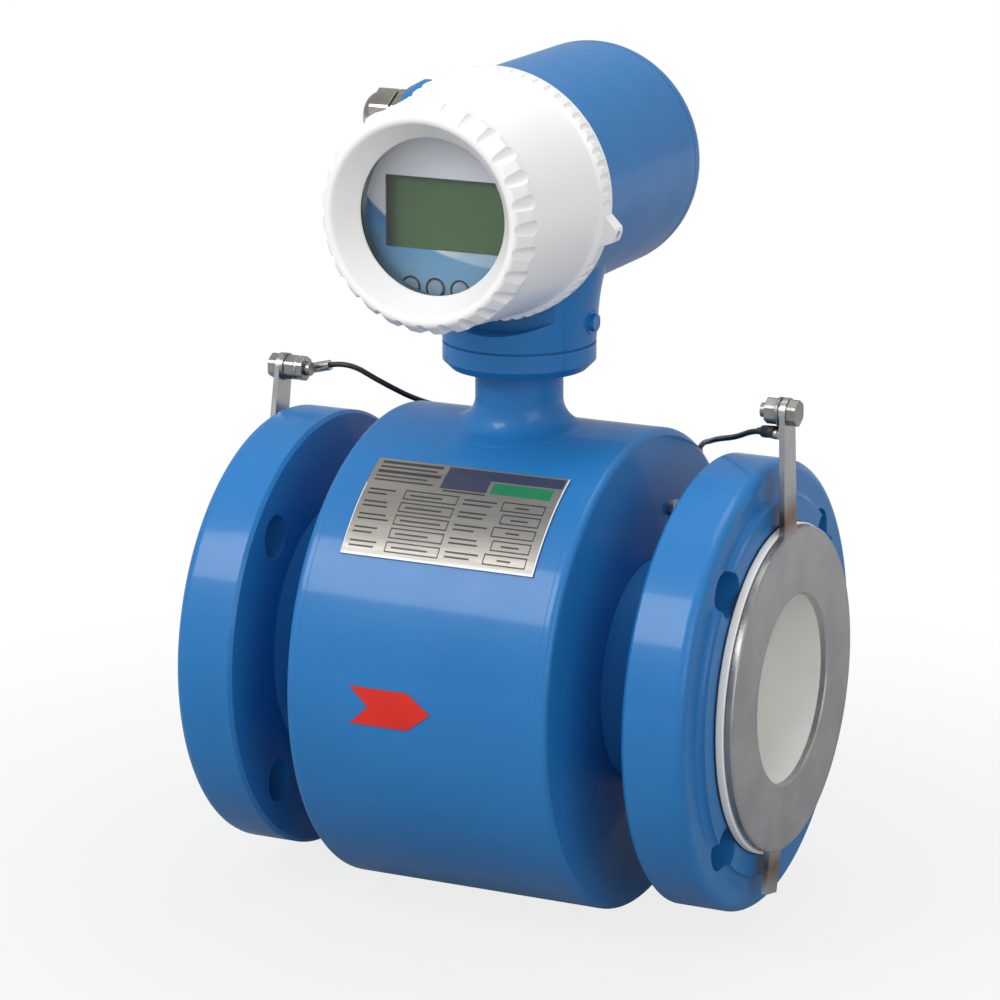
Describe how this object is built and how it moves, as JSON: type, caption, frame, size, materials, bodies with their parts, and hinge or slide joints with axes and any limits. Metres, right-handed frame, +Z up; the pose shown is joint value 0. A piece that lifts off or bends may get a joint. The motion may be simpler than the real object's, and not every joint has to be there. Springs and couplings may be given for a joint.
{
  "type": "electromagnetic flow meter",
  "caption": "Flanged pipe section with a round coil housing and a round display head on a neck, which measures liquid flow.",
  "frame": {"origin": "on the pipe axis, midway between the two flanges", "axes": "+X along the pipe in the flow direction, -Y towards the side that the display faces, +Z up through the neck"},
  "size_m": [0.2582, 0.2054, 0.3586],
  "materials": {
    "blue_paint": "gloss blue paint on steel and cast aluminium",
    "white_paint": "gloss off-white paint on cast aluminium",
    "stainless": "satin stainless steel",
    "ptfe": "smooth white fluoropolymer",
    "zinc_plate": "bright zinc plate",
    "tinned_copper": "tinned copper",
    "lead_insulation": "black cable insulation",
    "label_steel": "etched metal label",
    "arrow_red": "red film",
    "copper": "enamelled copper winding",
    "core_steel": "soft iron",
    "rubber": "black rubber",
    "window": "clear toughened glass",
    "black_plastic": "black moulded plastic",
    "plate_print": "printed plate, pale to mid blue",
    "key_grey": "soft grey-blue key",
    "lcd_green": "green display",
    "circuit_board": "green circuit board",
    "nickel_brass": "nickel-plated brass"
  },
  "bodies": {
    "base": {"back_electrode": "stainless", "board_components": "black_plastic", "case_earth_screw": "zinc_plate", "collar_gasket": "rubber", "collar_screws": "zinc_plate", "display_board": "circuit_board", "earth_screws": "zinc_plate", "electrode_bushes": "ptfe", "electrode_nuts": "stainless", "face_plate": "plate_print", "flow_arrow": "arrow_red", "flow_tube": "blue_paint", "front_cover_seal": "rubber", "front_electrode": "stainless", "gland_body": "nickel_brass", "gland_seal": "rubber", "housing_shell": "blue_paint", "inlet_earth_lead": "lead_insulation", "inlet_earthing_ring": "stainless", "inlet_end_plate": "blue_paint", "inlet_flange": "blue_paint", "lcd_module": "lcd_green", "lead_lugs": "tinned_copper", "liner": "ptfe", "lower_coil": "copper", "lower_pole_piece": "core_steel", "main_board": "circuit_board", "name_plate": "label_steel", "neck": "blue_paint", "outlet_earth_lead": "lead_insulation", "outlet_earthing_ring": "stainless", "outlet_end_plate": "blue_paint", "outlet_flange": "blue_paint", "sensor_harness": "lead_insulation", "standoffs": "zinc_plate", "tab_bolts": "zinc_plate", "tab_nuts": "zinc_plate", "tab_washers": "zinc_plate", "terminal_block": "black_plastic", "terminal_screws": "zinc_plate", "transmitter_case": "blue_paint", "upper_coil": "copper", "upper_pole_piece": "core_steel", "vent_screws": "zinc_plate", "yoke": "core_steel"},
    "front_cover_carrier": {"window_glass": "window", "window_gasket": "rubber", "glass_retainer": "black_plastic"},
    "front_cover": {"front_cover": "white_paint", "cover_lock_screw": "zinc_plate"},
    "rear_cover_carrier": {"rear_cover_seal": "rubber"},
    "rear_cover": {"rear_cover": "blue_paint"},
    "key_1": {"key_1": "key_grey"},
    "key_2": {"key_2": "key_grey"},
    "key_3": {"key_3": "key_grey"},
    "key_4": {"key_4": "key_grey"},
    "gland_clamp": {"gland_slip_ring": "black_plastic"},
    "gland_nut": {"gland_nut": "nickel_brass"}
  },
  "joints": [
    {"name": "front_cover_advance", "type": "slide", "parent": "base", "child": "front_cover_carrier", "axis": [0, -1, 0], "range_m": [0, 0.01201]},
    {"name": "front_cover_turn", "type": "hinge", "parent": "front_cover_carrier", "child": "front_cover", "pos_m": [0, -0.055, 0.2037], "axis": [0, -1, 0], "range_deg": [0, 2160]},
    {"name": "rear_cover_advance", "type": "slide", "parent": "base", "child": "rear_cover_carrier", "axis": [0, 1, 0], "range_m": [0, 0.01001]},
    {"name": "rear_cover_turn", "type": "hinge", "parent": "rear_cover_carrier", "child": "rear_cover", "pos_m": [0, 0.075, 0.2037], "axis": [0, 1, 0], "range_deg": [0, 1800]},
    {"name": "gland_nut_advance", "type": "slide", "parent": "base", "child": "gland_clamp", "axis": [-1, 0, 0], "range_m": [0, 0.006]},
    {"name": "gland_nut_turn", "type": "hinge", "parent": "gland_clamp", "child": "gland_nut", "pos_m": [-0.078, 0.0285, 0.222], "axis": [-1, 0, 0], "range_deg": [0, 1440.2]},
    {"name": "key_1_press", "type": "slide", "parent": "base", "child": "key_1", "axis": [0, 1, 0], "range_m": [0, 0.0008], "stiffness_N_per_m": 400, "springref_m": -0.0005},
    {"name": "key_2_press", "type": "slide", "parent": "base", "child": "key_2", "axis": [0, 1, 0], "range_m": [0, 0.0008], "stiffness_N_per_m": 400, "springref_m": -0.0005},
    {"name": "key_3_press", "type": "slide", "parent": "base", "child": "key_3", "axis": [0, 1, 0], "range_m": [0, 0.0008], "stiffness_N_per_m": 400, "springref_m": -0.0005},
    {"name": "key_4_press", "type": "slide", "parent": "base", "child": "key_4", "axis": [0, 1, 0], "range_m": [0, 0.0008], "stiffness_N_per_m": 400, "springref_m": -0.0005}
  ],
  "couplings": [
    {"joint": "front_cover_advance", "follows": "front_cover_turn", "m_per_rad": 0.00031831},
    {"joint": "rear_cover_advance", "follows": "rear_cover_turn", "m_per_rad": 0.00031831},
    {"joint": "gland_nut_turn", "follows": "gland_nut_advance", "rad_per_m": 4188.8}
  ]
}
